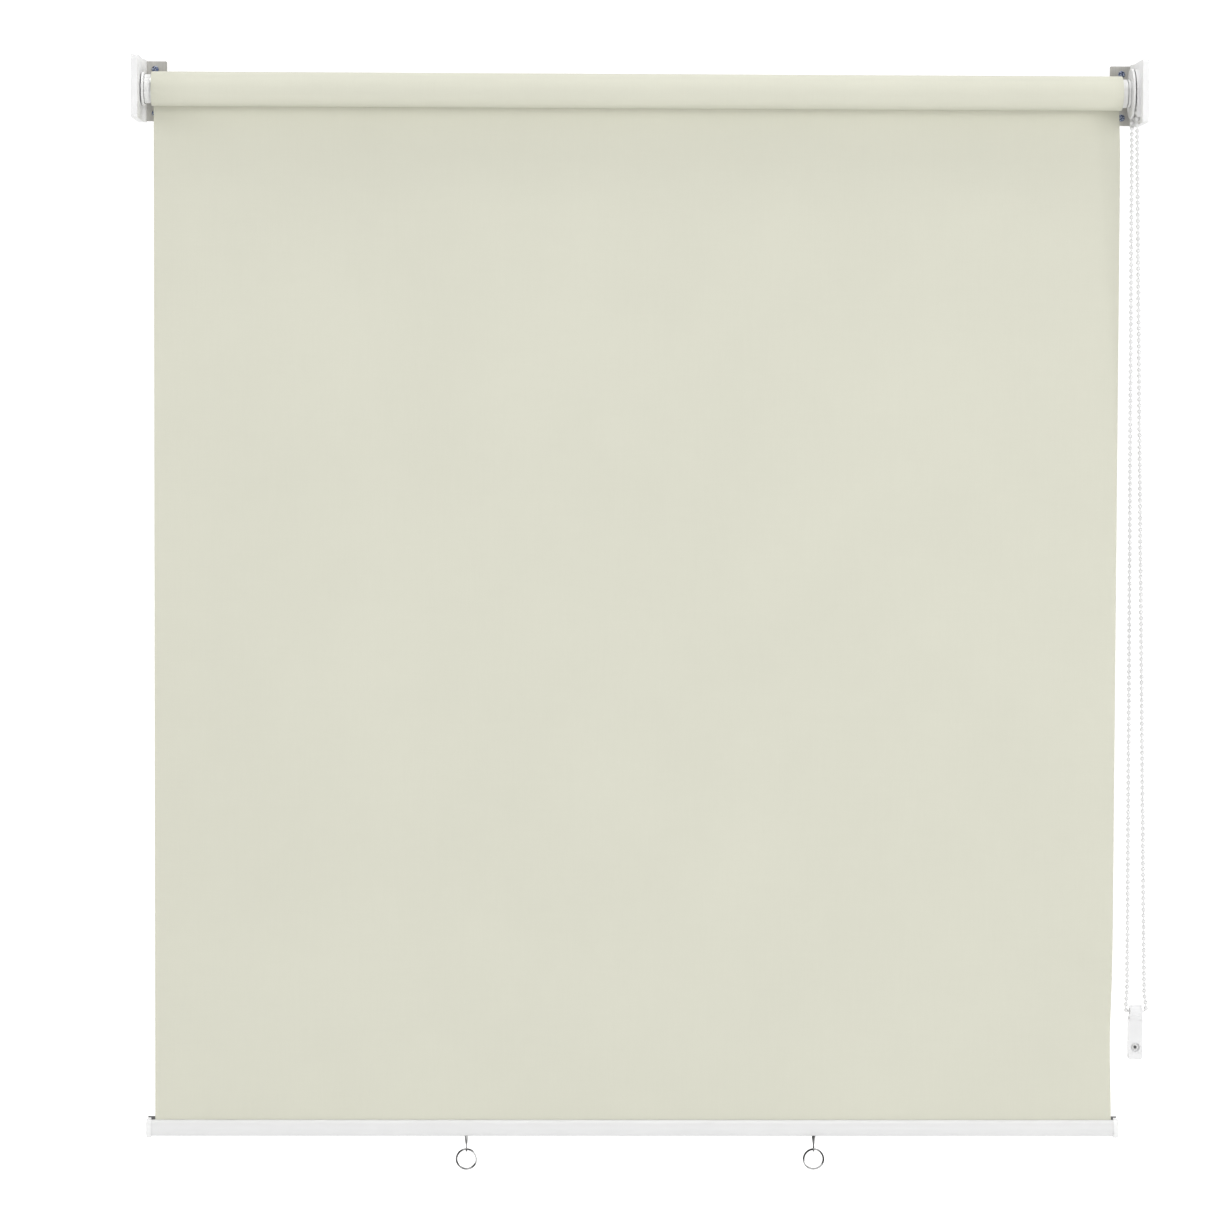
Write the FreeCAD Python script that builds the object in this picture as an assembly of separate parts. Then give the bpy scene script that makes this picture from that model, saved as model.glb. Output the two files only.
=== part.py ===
import FreeCAD, Part

import math
import os

# Chain-operated roller blind for a wall. Millimetres.
# Origin: centre of the four wall screws, in the wall plane, level with the roller axis.
# +X to the chain side, +Y into the wall (the room is at -Y), +Z up.

Vector = FreeCAD.Vector
X_AXIS = Vector(1, 0, 0)
Y_AXIS = Vector(0, 1, 0)
Z_AXIS = Vector(0, 0, 1)

# --- driving dimensions -------------------------------------------------------------------------

COVER_OUTER_X = 508.0        # outer face of each bracket cover
COVER_WIDTH = 6.6            # cover thickness along X
COVER_WALL = 1.4
COVER_HEIGHT = 63.2
COVER_FRONT_Y = -71.0
COVER_BACK_Y = -2.3          # back edge of the cover, just in front of the wall flange
COVER_TOP_WALL = 1.2
COVER_INNER_WALL = 1.1
FLARE_START_Y = -12.6        # from here back, the cover's inner wall leans out round the plate's bend
FLARE = 2.8

PLATE = 2.0                  # bracket sheet thickness
PLATE_HEIGHT = 60.4
PLATE_INNER_X = 478.0        # free edge of the wall flange
ARM_OUTER_X = 504.6          # outer face of the arm
ARM_FRONT_Y = -68.4
BEND_INNER = 3.5             # inner radius of the bend between arm and flange
SCREW_X = 490.0              # wall screws, at both signs
SCREW_Z = 22.0
SCREW_R = 2.0
SCREW_NECK_R = 2.25          # plain neck, where the screw passes through the plate
SCREW_HOLE_R = 2.4
SCREW_HEAD_R = 3.5
SCREW_HEAD = 1.9
SCREW_LENGTH = 32.0

AXIS_Y = -32.5               # roller axis, at z = 0
TUBE_R = 14.0
TUBE_WALL = 1.0
TUBE_LEFT = -491.5
TUBE_RIGHT = 485.7
FABRIC_LEFT = -490.5
FABRIC_RIGHT = 485.5
FABRIC = 0.55                # cloth thickness
RESERVE_WRAPS = 6            # turns left on the tube with the blind down
TAPE = 0.15
ROLL_R = TUBE_R + RESERVE_WRAPS * FABRIC
FIT = 0.06                   # running clearance on radius
GAP = 0.3                    # clearance between pieces that move past each other

SHEET_FRONT_Y = AXIS_Y + ROLL_R + GAP
BAR_TOP_Z = -1045.2
BAR_HEIGHT = 16.7
BAR_DEPTH = 11.2
BAR_BACK_Y = -10.0
BAR_LEFT = -494.5
BAR_RIGHT = 489.5
BAR_WALL = 1.2
BAR_CORNER = 2.0
BAR_NOSE = 5.2               # how far the round front stands forward of its flat top
CAP = 5.0                    # end cap thickness
CAP_PROUD = 0.9              # how far a cap stands proud of the bar
CAP_DROP = 0.9               # how much further it stands out below
SPLINE = 1.2                 # thickness of the hem strip
SPLINE_TOP_Z = BAR_TOP_Z + 3.3
TONGUE_BOTTOM_Z = BAR_TOP_Z + 1.8
TONGUE = 3.2                 # how far the strip's ends reach out over the caps

RING_X = (-173.0, 182.2)     # left and right pull ring
RING_R = 10.1                # centreline
RING_WIRE = 1.8              # radial thickness of the split ring
RING_Z = -1085.6
EYE_LOOP_R = 2.7
EYE_WIRE_R = 0.7

BEAD_R = 2.25
BEAD_PITCH = 6.0
POCKETS = 18
STRAND_BEND_R = 900.0
WHEEL_R = BEAD_PITCH / (2 * math.sin(math.pi / POCKETS))
CHAIN_X = 499.0              # plane of the chain at the wheel
DISC_R = 25.0                # the chain wheel's disc, on the roller's side of the chain
SHROUD_R = 24.6              # outside of the fixed shroud that the chain runs under
SHROUD_WALL = 3.0
SHROUD_LEFT = 497.7
SHROUD_BOTTOM_Z = -25.0
SHROUD_END_DEG = 45.0        # where the shroud ends behind the wheel, from straight back
PEG_R = 1.0
PEG_DEG = (70, 110, 180)     # the shroud's pegs in the cover
TENSIONER_X = 512.9
TENSIONER_Y = -6.6           # centre of the tunnel that the chain runs through
TENSIONER_Z = -934.4
TENSIONER_DRUM_R = 6.3
TENSIONER_DRUM_HALF = 6.2
TENSIONER_HALF = 7.5
TENSIONER_BOTTOM = -984.2
TENSIONER_SCREW_Z = -971.8
STRAND_SPREAD = 8.8          # chain strands, each side of the tensioner's centre
STRAND_STRAIGHT_Z = -40.0    # the strands hang straight down from the wheel to here, then lean

# stations along the chain end, from the middle of the blind outwards
HUB_TIP = 452.0
CLIP_X = 453.5
PLUG_TIP = 456.0
KEY_LEFT = 459.0
SLEEVE_TIP = 462.0
INNER_SPRING_X = 466.0
OUTER_SPRING_X = 478.0
SLEEVE_FULL = 490.4          # from here the sleeve is a full ring
WHEEL_LEFT = 491.5
STEP_X = 493.2
DISC_LEFT = 494.5
DISC_RIGHT = 496.5
WHEEL_RIGHT = 501.1
SEAT_X = 501.4               # inner face of the cover, and the hub's shoulder in its slot
SEAT_END = 502.5

# stations along the idle end
PIN_TIP = -503.9
PIN_BORE_END = -504.4
BOSS_DISC_LEFT = -500.2
BOSS_DISC_RIGHT = -497.7
IDLE_FLANGE = -497.3
PIN_COLLAR = -488.9
PIN_COLLAR_END = -487.0
PIN_TAIL = -480.4
SPRING_CHAMBER_END = -462.0
IDLE_PLUG_END = -456.0

BOSS_R = 16.5
HUB_R = 8.0
SPRING_WIRE = 1.3            # brake springs, square wire
SLEEVE_R = 11.2
SLEEVE_WALL = 1.4
PLUG_R = TUBE_R - TUBE_WALL - 0.05
PLUG_RIBS = 8
PIN_R = 3.0

# --- helpers ------------------------------------------------------------------------------------


def box(x0, x1, y0, y1, z0, z1):
    """A block between two corners."""
    return Part.makeBox(x1 - x0, y1 - y0, z1 - z0, Vector(x0, y0, z0))


def rod(x0, x1, radius, y=AXIS_Y, z=0.0):
    """A round bar along X."""
    return Part.makeCylinder(radius, x1 - x0, Vector(x0, y, z), X_AXIS)


def pipe(x0, x1, outer, inner, y=AXIS_Y, z=0.0):
    """A tube along X."""
    return rod(x0, x1, outer, y, z).cut(rod(x0 - 1, x1 + 1, inner, y, z))


def joined(shapes):
    """One solid from pieces that overlap or touch."""
    return shapes[0].multiFuse(shapes[1:]).removeSplitter()


def without(shape, tools):
    """A shape with several tools cut away."""
    for tool in tools:
        shape = shape.cut(tool)
    return shape


def edges_along(shape, axis):
    """The straight edges of a shape that run along an axis."""
    found = []
    for edge in shape.Edges:
        if isinstance(edge.Curve, Part.Line):
            if abs(abs(edge.tangentAt(edge.FirstParameter).dot(axis)) - 1) < 1e-6:
                found.append(edge)
    return found


def rounded(shape, radius, axis, keep=lambda centre: True):
    """A shape with its edges along an axis rounded, where keep accepts their centre."""
    chosen = [e for e in edges_along(shape, axis) if keep(e.CenterOfMass)]
    return shape.makeFillet(radius, chosen)


def turned(profile, x=0.0, y=AXIS_Y, z=0.0, axis=X_AXIS):
    """A solid turned about an axis through (x, y, z), from (distance along the axis, radius) pairs."""
    side = Z_AXIS if axis != Z_AXIS else X_AXIS
    points = [Vector(x, y, z) + axis * a + side * r for a, r in profile]
    face = Part.Face(Part.makePolygon(points + points[:1]))
    return face.revolve(Vector(x, y, z), axis, 360)


def sector(x0, x1, outer, middle_deg, width_deg):
    """A wedge about the roller axis, to cut or keep part of a ring."""
    half = math.radians(width_deg / 2)
    middle = math.radians(middle_deg)
    reach = outer / math.cos(half)
    corners = [Vector(x0, AXIS_Y, 0)]
    for angle in (middle - half, middle + half):
        corners.append(Vector(x0, AXIS_Y + reach * math.cos(angle), reach * math.sin(angle)))
    return Part.Face(Part.makePolygon(corners + corners[:1])).extrude(X_AXIS * (x1 - x0))


def mirrored(shape):
    """The same shape on the other side of the middle of the blind."""
    return shape.mirror(Vector(0, 0, 0), X_AXIS)


def bent_path(points, radii):
    """Straight runs between points, with a tangent arc of its own radius at each inner point."""
    edges = []
    start = points[0]
    for before, corner, after, radius in zip(points, points[1:], points[2:], radii):
        arriving = (corner - before).normalize()
        leaving = (after - corner).normalize()
        turn = arriving.getAngle(leaving)
        reach = radius * math.tan(turn / 2)
        first = corner - arriving * reach
        last = corner + leaving * reach
        inward = (leaving - arriving).normalize()
        middle = corner + inward * (radius / math.cos(turn / 2) - radius)
        if (first - start).Length > 0.01:
            edges.append(Part.LineSegment(start, first).toShape())
        edges.append(Part.Arc(first, middle, last).toShape())
        start = last
    edges.append(Part.LineSegment(start, points[-1]).toShape())
    return Part.Wire(edges)


def swept(path, radius):
    """A round tube along a path, and the section times the length that its volume should be."""
    begin = path.Edges[0]
    normal = begin.tangentAt(begin.FirstParameter)
    ring = Part.Circle(begin.valueAt(begin.FirstParameter), normal, radius).toShape()
    tube = path.makePipeShell([Part.Wire([ring])], True, False)
    return tube, math.pi * radius ** 2 * path.Length


# --- brackets and covers, drawn for the chain side ----------------------------------------------


def bracket(hole_r):
    """A bent steel plate: wall flange with two screw holes, and an arm with one hole for the hub."""
    top = PLATE_HEIGHT / 2
    arm_inner = ARM_OUTER_X - PLATE
    bend_y = -PLATE - BEND_INNER
    bend_x = arm_inner - BEND_INNER
    arm = box(arm_inner, ARM_OUTER_X, ARM_FRONT_Y, bend_y, -top, top)
    arm = rounded(arm, 6.0, X_AXIS, lambda c: c.y < ARM_FRONT_Y + 1)
    flange = box(PLATE_INNER_X, bend_x, -PLATE, 0, -top, top)
    flange = rounded(flange, 1.4, Y_AXIS, lambda c: c.x < PLATE_INNER_X + 1)
    quarter = box(bend_x, ARM_OUTER_X, bend_y, 0, -top, top)
    centre = Vector(bend_x, bend_y, -top)
    outer = Part.makeCylinder(BEND_INNER + PLATE, PLATE_HEIGHT, centre, Z_AXIS)
    inner = Part.makeCylinder(BEND_INNER, PLATE_HEIGHT, centre, Z_AXIS)
    bend = quarter.common(outer).cut(inner)
    plate = joined([arm, bend, flange])
    holes = [rod(arm_inner - 1, ARM_OUTER_X + 1, hole_r)]
    for z in (-SCREW_Z, SCREW_Z):
        holes.append(Part.makeCylinder(SCREW_HOLE_R, PLATE + 2, Vector(SCREW_X, -PLATE - 1, z), Y_AXIS))
    return without(plate, holes)


def flare_wedge(inner_x, half_height):
    """The part of the cover that leans out at the back, as a wedge on its inner face."""
    corners = [
        Vector(inner_x, FLARE_START_Y, -half_height),
        Vector(inner_x - FLARE, COVER_BACK_Y, -half_height),
        Vector(inner_x + COVER_INNER_WALL, COVER_BACK_Y, -half_height),
        Vector(inner_x + COVER_INNER_WALL, FLARE_START_Y, -half_height),
    ]
    return Part.Face(Part.makePolygon(corners + corners[:1])).extrude(Z_AXIS * 2 * half_height)


def bracket_cover(slot_half):
    """A moulded box that slides over the arm from the front, slotted at the back for the hub."""
    top = COVER_HEIGHT / 2
    inner_x = COVER_OUTER_X - COVER_WIDTH
    shell = box(inner_x, COVER_OUTER_X, COVER_FRONT_Y, COVER_BACK_Y, -top, top)
    shell = rounded(shell, 3.0, X_AXIS, lambda c: c.y < COVER_FRONT_Y + 1)
    outer_edges = []
    for edge in shell.Edges:
        if edge.CenterOfMass.x > COVER_OUTER_X - 0.01 and edge.CenterOfMass.y < COVER_BACK_Y - 0.01:
            outer_edges.append(edge)
    shell = shell.makeFillet(1.2, outer_edges)
    shell = joined([shell, flare_wedge(inner_x, top)])
    inside = top - COVER_TOP_WALL
    hollow = box(
        inner_x + COVER_INNER_WALL, COVER_OUTER_X - COVER_WALL,
        COVER_FRONT_Y + COVER_WALL, COVER_BACK_Y + 1, -inside, inside,
    )
    hollow_flare = flare_wedge(inner_x, inside).translated(X_AXIS * COVER_INNER_WALL)
    slot = joined([
        rod(inner_x - 1, inner_x + 2, slot_half),
        box(inner_x - FLARE - 1, inner_x + 2, AXIS_Y, COVER_BACK_Y + 1, -slot_half, slot_half),
    ])
    ribs = []
    for z in (-24.0, -12.0, 12.0, 24.0):
        ribs.append(box(ARM_OUTER_X + 0.1, COVER_OUTER_X - 1.2, -66.0, -10.0, z - 0.6, z + 0.6))
    return joined([without(shell, [hollow, hollow_flare, slot])] + ribs)


def shroud_pegs(radius, x0, x1):
    """Round pegs, or the holes for them, along the middle line of the shroud."""
    pegs = []
    for turn in PEG_DEG:
        angle = math.radians(turn)
        reach = SHROUD_R - SHROUD_WALL / 2
        pegs.append(rod(x0, x1, radius, AXIS_Y + reach * math.cos(angle), reach * math.sin(angle)))
    return pegs


def chain_shroud():
    """The fixed rim that the chain runs under, over the wheel and down its front, pegged to the cover."""
    inner = SHROUD_R - SHROUD_WALL
    arch = pipe(SHROUD_LEFT, SEAT_X, SHROUD_R, inner)
    middle = (SHROUD_END_DEG + 180) / 2
    arch = arch.common(sector(SHROUD_LEFT, SEAT_X, 2 * SHROUD_R, middle, 180 - SHROUD_END_DEG))
    leg = box(SHROUD_LEFT, SEAT_X, AXIS_Y - SHROUD_R, AXIS_Y - inner, SHROUD_BOTTOM_Z, 0)
    return joined([arch, leg] + shroud_pegs(PEG_R, SHROUD_LEFT + 1, SEAT_X + 0.9))


def pan_screw(place, direction, head_r, head_h, shank_r, length, neck=0.0, neck_r=0.0):
    """A pan-head screw with a cross recess, a pointed end and any neck, its head's seat at place."""
    slot = 0.3 * head_r
    profile = [
        (0, 0), (-head_h, 0), (-head_h, head_r * 0.45), (-head_h * 0.8, head_r * 0.8),
        (-head_h * 0.3, head_r), (0, head_r),
    ]
    if neck:
        profile += [(0, neck_r), (neck, neck_r)]
    profile += [(neck, shank_r), (length - 2 * shank_r, shank_r), (length, 0.3), (length, 0)]
    screw = turned(profile, place.x, place.y, place.z, direction)
    across = Z_AXIS if direction != Z_AXIS else X_AXIS
    third = direction.cross(across)
    cuts = []
    for one, other in ((across, third), (third, across)):
        corner = place - direction * (head_h + 0.5) - one * head_r * 0.55 - other * slot / 2
        face = Part.makePolygon([
            corner, corner + one * head_r * 1.1,
            corner + one * head_r * 1.1 + other * slot, corner + other * slot, corner,
        ])
        cuts.append(Part.Face(face).extrude(direction * (head_h * 0.75 + 0.5)))
    return without(screw, cuts)


def wall_screws(side):
    """Two wall screws through one flange, standing out behind it."""
    screws = []
    for z in (-SCREW_Z, SCREW_Z):
        seat = Vector(side * SCREW_X, -PLATE, z)
        screws.append(pan_screw(
            seat, Y_AXIS, SCREW_HEAD_R, SCREW_HEAD, SCREW_R, SCREW_LENGTH, PLATE, SCREW_NECK_R))
    return Part.makeCompound(screws)


# --- idle end -----------------------------------------------------------------------------------


def idle_socket():
    """The round boss on the left arm that holds the idle pin, snapped through the arm."""
    snap_x = -ARM_OUTER_X - 0.2
    boss = joined([
        rod(BOSS_DISC_LEFT, BOSS_DISC_RIGHT, BOSS_R),
        rod(-SEAT_END, BOSS_DISC_LEFT, 7.5),
        rod(snap_x, -SEAT_END, 4.9),
        rod(snap_x - 1.4, snap_x, 6.4),
    ])
    dish = pipe(BOSS_DISC_RIGHT - 0.8, BOSS_DISC_RIGHT + 1, BOSS_R - 1.3, 9.0)
    return without(boss, [rod(PIN_BORE_END, BOSS_DISC_RIGHT + 1, PIN_R + FIT), dish])


def ribbed_plug(x0, x1, radius):
    """The part of a plug that is pressed into the tube: a core with ribs along it."""
    core = rod(x0, x1, radius - 0.9)
    ribs = []
    for n in range(PLUG_RIBS):
        rib = box(x0, x1, AXIS_Y - 1.2, AXIS_Y + 1.2, radius - 2.0, radius)
        rib.rotate(Vector(0, AXIS_Y, 0), X_AXIS, 360 * n / PLUG_RIBS)
        ribs.append(rib)
    return joined([core] + ribs).common(rod(x0, x1, radius))


def idle_plug():
    """The left plug of the tube, with its flange, the pin's guide and the spring's chamber."""
    body = joined([ribbed_plug(TUBE_LEFT, IDLE_PLUG_END, PLUG_R), rod(IDLE_FLANGE, TUBE_LEFT, 14.5)])
    dish = pipe(IDLE_FLANGE - 1, IDLE_FLANGE + 0.7, 12.6, 6.0)
    guide = rod(IDLE_FLANGE - 1, PIN_COLLAR + 1, PIN_R + FIT)
    chamber = rod(PIN_COLLAR - 0.1, SPRING_CHAMBER_END, 5.4)
    return without(body, [guide, chamber, dish])


def idle_pin():
    """The sprung pin that carries the left end of the roller."""
    tip = 0.8
    profile = [
        (PIN_TIP, 0), (PIN_TIP, PIN_R - tip), (PIN_TIP + tip, PIN_R),
        (PIN_COLLAR, PIN_R), (PIN_COLLAR, 5.0), (PIN_COLLAR_END, 5.0), (PIN_COLLAR_END, 2.2),
        (PIN_TAIL - 0.6, 2.2), (PIN_TAIL, 1.6), (PIN_TAIL, 0),
    ]
    return turned(profile)


def idle_pin_spring():
    """The compression spring behind the idle pin, its wire bent round in short arcs."""
    wire, radius, turns, corners = 0.4, 3.9, 8, 6
    begin, end = PIN_COLLAR_END + 0.2 + wire, SPRING_CHAMBER_END - 0.1 - wire
    points = []
    for n in range(turns * corners + 1):
        angle = 2 * math.pi * n / corners
        x = begin + (end - begin) * n / (turns * corners)
        points.append(Vector(x, AXIS_Y + radius * math.cos(angle), radius * math.sin(angle)))
    bend = 0.45 * radius / math.tan(math.pi / corners)
    coil, expected = swept(bent_path(points, [bend] * (len(points) - 2)), wire)
    print("idle_pin_spring volume", round(coil.Volume, 2), "section x length", round(expected, 2))
    return coil


# --- roller -------------------------------------------------------------------------------------


def roller_tube():
    """The aluminium tube, with two keyways inside for the ribs of its plugs."""
    tube = pipe(TUBE_LEFT, TUBE_RIGHT, TUBE_R, TUBE_R - TUBE_WALL)
    groove = box(TUBE_LEFT - 1, TUBE_RIGHT + 1, AXIS_Y - 0.5, AXIS_Y + 0.5, TUBE_R - 0.25, TUBE_R + 1)
    return tube.cut(groove)


def fabric_tape():
    """The adhesive strip along the tube that the cloth is stuck to."""
    ring = pipe(FABRIC_LEFT + 2, FABRIC_RIGHT - 2, TUBE_R + TAPE, TUBE_R)
    return ring.common(sector(FABRIC_LEFT, FABRIC_RIGHT, TUBE_R + 2, 140, 50))


def wound_fabric():
    """The cloth left on the tube with the blind down."""
    return pipe(FABRIC_LEFT, FABRIC_RIGHT, ROLL_R, TUBE_R + TAPE + 0.05)


def hanging_sheet():
    """The cloth that hangs from the back of the roll into the slot of the bottom bar."""
    return box(FABRIC_LEFT, FABRIC_RIGHT, SHEET_FRONT_Y, SHEET_FRONT_Y + FABRIC, BAR_TOP_Z - 4.4, 0)


# --- chain end ----------------------------------------------------------------------------------


def clutch_hub():
    """The fixed hub that the clutch turns on, seated against the right arm."""
    hub = joined([
        rod(HUB_TIP, SEAT_X, HUB_R),
        rod(SEAT_X, SEAT_END, 9.5),
        rod(SEAT_END, ARM_OUTER_X, 5.9),
    ])
    flat = box(SEAT_END, ARM_OUTER_X + 1, AXIS_Y - HUB_R, AXIS_Y + HUB_R, 4.6, HUB_R)
    clip_groove = pipe(CLIP_X - 0.1, CLIP_X + 1.1, HUB_R + 1, 7.0)
    return without(hub, [flat, clip_groove, rod(484.0, ARM_OUTER_X + 1, 1.7)])


def hub_screw():
    """The screw that holds the hub on the arm, its head inside the cover."""
    return pan_screw(Vector(ARM_OUTER_X, AXIS_Y, 0), Vector(-1, 0, 0), 6.5, 1.7, 1.6, 18.0)


def hub_clip():
    """The open spring clip that keeps the drive plug on the hub."""
    ring = pipe(CLIP_X, CLIP_X + 1, 10.4, 7.1)
    return ring.cut(sector(CLIP_X - 1, CLIP_X + 2, 14.0, 270, 70))


def brake_spring(x0, coils):
    """A close-wound brake spring that grips the hub, with both ends bent outwards."""
    pitch = SPRING_WIRE + 0.08
    inner = HUB_R + FIT
    outer = inner + SPRING_WIRE
    profile = [(x0, inner)]
    for n in range(coils):
        x = x0 + n * pitch
        profile += [(x, outer), (x + SPRING_WIRE, outer), (x + SPRING_WIRE, outer - 0.6)]
        if n < coils - 1:
            profile.append((x + pitch, outer - 0.6))
    end = x0 + (coils - 1) * pitch + SPRING_WIRE
    profile.append((end, inner))
    tangs = []
    for x, angle in ((x0, 70), (end - SPRING_WIRE, 110)):
        tang = box(x, x + SPRING_WIRE, AXIS_Y - 0.65, AXIS_Y + 0.65, outer - 0.5, outer + 1.3)
        tang.rotate(Vector(0, AXIS_Y, 0), X_AXIS, angle - 90)
        tangs.append(tang)
    return joined([turned(profile)] + tangs)


def drive_plug():
    """The right plug of the tube: it turns on the hub's end and is driven by the wheel's sleeve."""
    collar_end = SLEEVE_FULL
    body = joined([ribbed_plug(PLUG_TIP, TUBE_RIGHT, PLUG_R), rod(TUBE_RIGHT, collar_end, 14.2)])
    hollow = rod(KEY_LEFT + 0.5, collar_end + 1, SLEEVE_R + GAP)
    key = pipe(KEY_LEFT, 488.0, SLEEVE_R + 0.8, HUB_R + SPRING_WIRE + 0.6)
    key = key.common(sector(KEY_LEFT, 488.0, 16.0, 270, 34))
    return joined([body.cut(hollow), key]).cut(rod(PLUG_TIP - 1, collar_end + 1, HUB_R + FIT))


def chain_wheel():
    """The wheel with its guard disc, and the sleeve that reaches in among the brake springs."""
    sleeve = pipe(SLEEVE_TIP, DISC_LEFT + 0.5, SLEEVE_R, SLEEVE_R - SLEEVE_WALL)
    for angle, width in ((90, 60), (270, 46)):
        sleeve = sleeve.cut(sector(SLEEVE_TIP - 1, SLEEVE_FULL, 16.0, angle, width))
    core_r = WHEEL_R - BEAD_R - GAP
    wheel = joined([
        sleeve,
        rod(WHEEL_LEFT, STEP_X, 14.2),
        rod(STEP_X, DISC_LEFT, 12.6),
        rod(DISC_LEFT, DISC_RIGHT, DISC_R),
        rod(DISC_RIGHT, WHEEL_RIGHT, core_r),
    ])
    dish = pipe(DISC_LEFT - 0.5, DISC_LEFT + 0.6, DISC_R - 1.4, 15.4)
    inside = rod(SLEEVE_TIP - 1, WHEEL_LEFT + 0.9, SLEEVE_R - SLEEVE_WALL)
    return without(wheel, [dish, inside, rod(WHEEL_LEFT - 1, WHEEL_RIGHT + 1, HUB_R + FIT)])


def chain_route():
    """The chain's centreline: out of the tensioner, over the wheel and back down into it."""
    joint = 0.15
    aside = WHEEL_R * math.tan(math.pi / 8)
    points = [
        Vector(TENSIONER_X + joint, TENSIONER_Y, TENSIONER_Z),
        Vector(TENSIONER_X + STRAND_SPREAD, TENSIONER_Y, TENSIONER_Z),
        Vector(CHAIN_X, AXIS_Y - WHEEL_R, STRAND_STRAIGHT_Z),
        Vector(CHAIN_X, AXIS_Y - WHEEL_R, aside),
        Vector(CHAIN_X, AXIS_Y - aside, WHEEL_R),
        Vector(CHAIN_X, AXIS_Y + aside, WHEEL_R),
        Vector(CHAIN_X, AXIS_Y + WHEEL_R, aside),
        Vector(CHAIN_X, AXIS_Y + WHEEL_R, STRAND_STRAIGHT_Z),
        Vector(TENSIONER_X - STRAND_SPREAD, TENSIONER_Y, TENSIONER_Z),
        Vector(TENSIONER_X - joint, TENSIONER_Y, TENSIONER_Z),
    ]
    mouth = 0.45 * (STRAND_SPREAD - joint)
    return points, [mouth, STRAND_BEND_R] + [WHEEL_R] * 4 + [STRAND_BEND_R, mouth]


def bead_chain():
    """The endless bead chain, as one plain tube as thick as its beads."""
    points, radii = chain_route()
    path = bent_path(points, radii)
    tube, expected = swept(path, BEAD_R)
    print("bead_chain length", round(path.Length, 1), "radii", [round(r, 2) for r in radii])
    print("bead_chain volume", round(tube.Volume, 1), "section x length", round(expected, 1))
    return tube


def chain_tensioner():
    """The wall clip that keeps the chain down: a drum with a tunnel over a screwed tongue."""
    drum = rod(
        TENSIONER_X - TENSIONER_DRUM_HALF, TENSIONER_X + TENSIONER_DRUM_HALF,
        TENSIONER_DRUM_R, TENSIONER_Y, TENSIONER_Z,
    )
    left, right = TENSIONER_X - TENSIONER_HALF, TENSIONER_X + TENSIONER_HALF
    neck_top = TENSIONER_Z - TENSIONER_DRUM_R + 1.0
    tongue = box(left, right, -5.2, 0, TENSIONER_BOTTOM + 0.8, neck_top)
    tongue = rounded(tongue, 2.0, Y_AXIS)
    foot = box(left + 0.4, right - 0.4, -6.2, 0, TENSIONER_BOTTOM, TENSIONER_BOTTOM + 6.5)
    foot = rounded(foot, 1.6, Y_AXIS, lambda c: c.z < TENSIONER_BOTTOM + 1)
    neck = box(left + 1.3, right - 1.3, -10.5, -0.3, neck_top - 3.0, TENSIONER_Z)
    body = joined([tongue, foot, neck, drum])
    tunnel = rod(left - 1, right + 1, BEAD_R + 0.95, TENSIONER_Y, TENSIONER_Z)
    recess = Part.makeCylinder(4.8, 4.0, Vector(TENSIONER_X, -7.0, TENSIONER_SCREW_Z), Y_AXIS)
    hole = Part.makeCylinder(2.1, 9.0, Vector(TENSIONER_X, -8.0, TENSIONER_SCREW_Z), Y_AXIS)
    seam = box(right - 4.5, right + 1, -12.0, -4.6, neck_top - 4.4, neck_top - 2.6)
    return without(body, [tunnel, recess, hole, seam])


def tensioner_screw():
    """The screw that holds the tensioner to the wall."""
    return pan_screw(Vector(TENSIONER_X, -3.0, TENSIONER_SCREW_Z), Y_AXIS, 3.2, 1.9, 1.9, 28.0)


# --- bottom bar ---------------------------------------------------------------------------------


def bar_outline(x, inset, drop=0.0):
    """The bar's section in the plane at x, drawn inset from its outside, its lower side moved down."""
    top, bottom = BAR_TOP_Z - inset, BAR_TOP_Z - BAR_HEIGHT + inset - drop
    upper, lower = BAR_TOP_Z - BAR_CORNER, BAR_TOP_Z - BAR_HEIGHT + BAR_CORNER - drop
    back = BAR_BACK_Y - inset
    shoulder = BAR_BACK_Y - BAR_CORNER
    nose = BAR_BACK_Y - BAR_DEPTH + inset
    brow = BAR_BACK_Y - BAR_DEPTH + BAR_NOSE
    slant = (BAR_CORNER - inset) * math.sqrt(0.5)
    edges = [
        Part.Arc(
            Vector(x, back, upper),
            Vector(x, shoulder + slant, upper + slant),
            Vector(x, shoulder, top),
        ),
        Part.LineSegment(Vector(x, shoulder, top), Vector(x, brow, top)),
        Part.Arc(
            Vector(x, brow, top),
            Vector(x, nose, (top + bottom) / 2),
            Vector(x, brow, bottom),
        ),
        Part.LineSegment(Vector(x, brow, bottom), Vector(x, shoulder, bottom)),
        Part.Arc(
            Vector(x, shoulder, bottom),
            Vector(x, shoulder + slant, lower - slant),
            Vector(x, back, lower),
        ),
        Part.LineSegment(Vector(x, back, lower), Vector(x, back, upper)),
    ]
    return Part.Face(Part.Wire([edge.toShape() for edge in edges]))


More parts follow.
